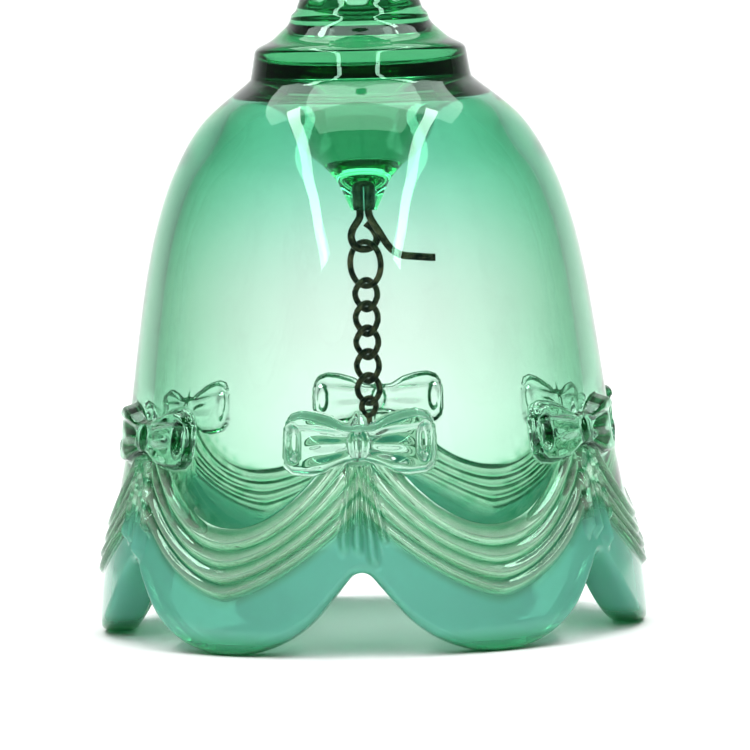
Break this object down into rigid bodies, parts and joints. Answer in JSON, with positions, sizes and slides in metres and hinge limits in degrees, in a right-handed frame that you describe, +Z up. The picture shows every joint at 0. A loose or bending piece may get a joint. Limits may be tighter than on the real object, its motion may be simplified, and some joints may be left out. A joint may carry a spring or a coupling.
{
  "type": "glass hand bell",
  "caption": "Pressed-glass table bell with a bow-and-drape relief, scalloped rim, fluted handle, and a bead clapper on a chain inside.",
  "frame": {"origin": "on the bell's axis, in the plane of the feet that the scallops stand on", "axes": "+Z up along the bell's axis towards the handle; one bow faces -Y"},
  "size_m": [0.0728, 0.0708, 0.114],
  "materials": {
    "glass": "clear green, milky at the rim",
    "dark_wire": "dark oxidised",
    "bead_glass": "clear"
  },
  "bodies": {
    "bell": {"glass_bell": "glass", "clapper_hook": "dark_wire"},
    "ring": {"top_ring": "dark_wire"},
    "link_1": {"chain_link_1": "dark_wire"},
    "link_2": {"chain_link_2": "dark_wire"},
    "link_3": {"chain_link_3": "dark_wire"},
    "link_4": {"chain_link_4": "dark_wire"},
    "link_5": {"chain_link_5": "dark_wire"},
    "pin": {"clapper_pin": "dark_wire"},
    "bead": {"clapper_bead": "bead_glass"}
  },
  "joints": [
    {"name": "ring_swing", "type": "hinge", "parent": "bell", "child": "ring", "pos_m": [0, 0, 0.04935], "axis": [0.9026, 0.4305, 0], "range_deg": [-40, 40]},
    {"name": "link_1_swing", "type": "hinge", "parent": "ring", "child": "link_1", "pos_m": [0, 0, 0.04445], "axis": [-0.7071, 0.7071, 0], "range_deg": [-40, 40]},
    {"name": "link_2_swing", "type": "hinge", "parent": "link_1", "child": "link_2", "pos_m": [0, 0, 0.04217], "axis": [-0.7071, -0.7071, 0], "range_deg": [-40, 40]},
    {"name": "link_3_swing", "type": "hinge", "parent": "link_2", "child": "link_3", "pos_m": [0, 0, 0.03817], "axis": [0.7071, -0.7071, 0], "range_deg": [-40, 40]},
    {"name": "link_4_swing", "type": "hinge", "parent": "link_3", "child": "link_4", "pos_m": [0, 0, 0.03589], "axis": [-0.7071, -0.7071, 0], "range_deg": [-40, 40]},
    {"name": "link_5_swing", "type": "hinge", "parent": "link_4", "child": "link_5", "pos_m": [0, 0, 0.03189], "axis": [-0.7071, 0.7071, 0], "range_deg": [-40, 40]},
    {"name": "pin_swing", "type": "hinge", "parent": "link_5", "child": "pin", "pos_m": [0, 0, 0.02961], "axis": [0.7071, 0.7071, 0], "range_deg": [-40, 40]},
    {"name": "bead_spin", "type": "hinge", "parent": "pin", "child": "bead", "pos_m": [0, 0, 0.02], "axis": [0, 0, 1], "continuous": true}
  ]
}
